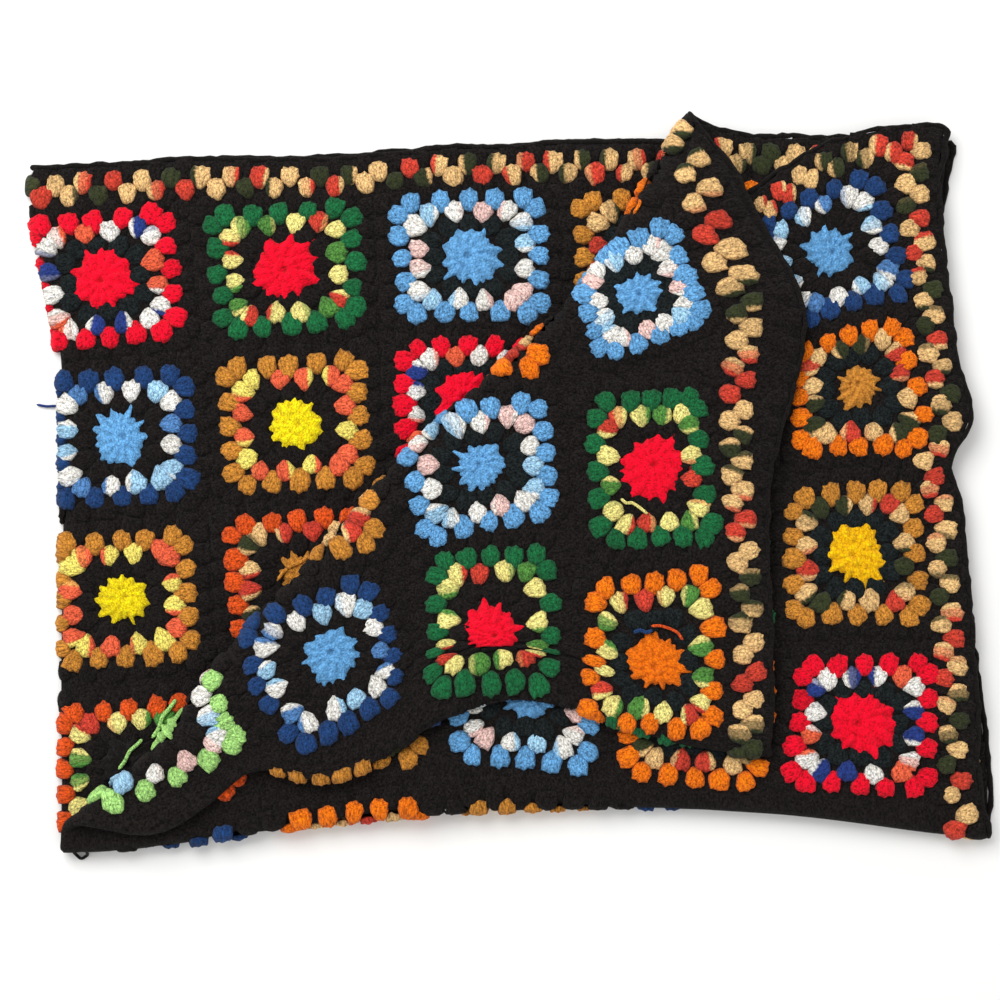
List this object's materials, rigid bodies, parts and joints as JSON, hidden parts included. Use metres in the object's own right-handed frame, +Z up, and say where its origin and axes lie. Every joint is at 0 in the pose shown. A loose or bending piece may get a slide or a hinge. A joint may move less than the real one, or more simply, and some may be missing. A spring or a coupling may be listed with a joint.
{
  "type": "granny square blanket",
  "caption": "Crocheted granny square blanket, folded in four on a flat surface, with one corner of its upper half turned over.",
  "frame": {"origin": "on the surface that the blanket lies on, under the middle of its folded outline", "axes": "+X along the long side towards the free edges on the right, +Y towards the free edges at the back, +Z up"},
  "size_m": [0.776, 0.5948, 0.0435],
  "materials": {
    "yarn": "matt"
  },
  "bodies": {
    "root": {"blanket": "yarn"}
  },
  "joints": []
}
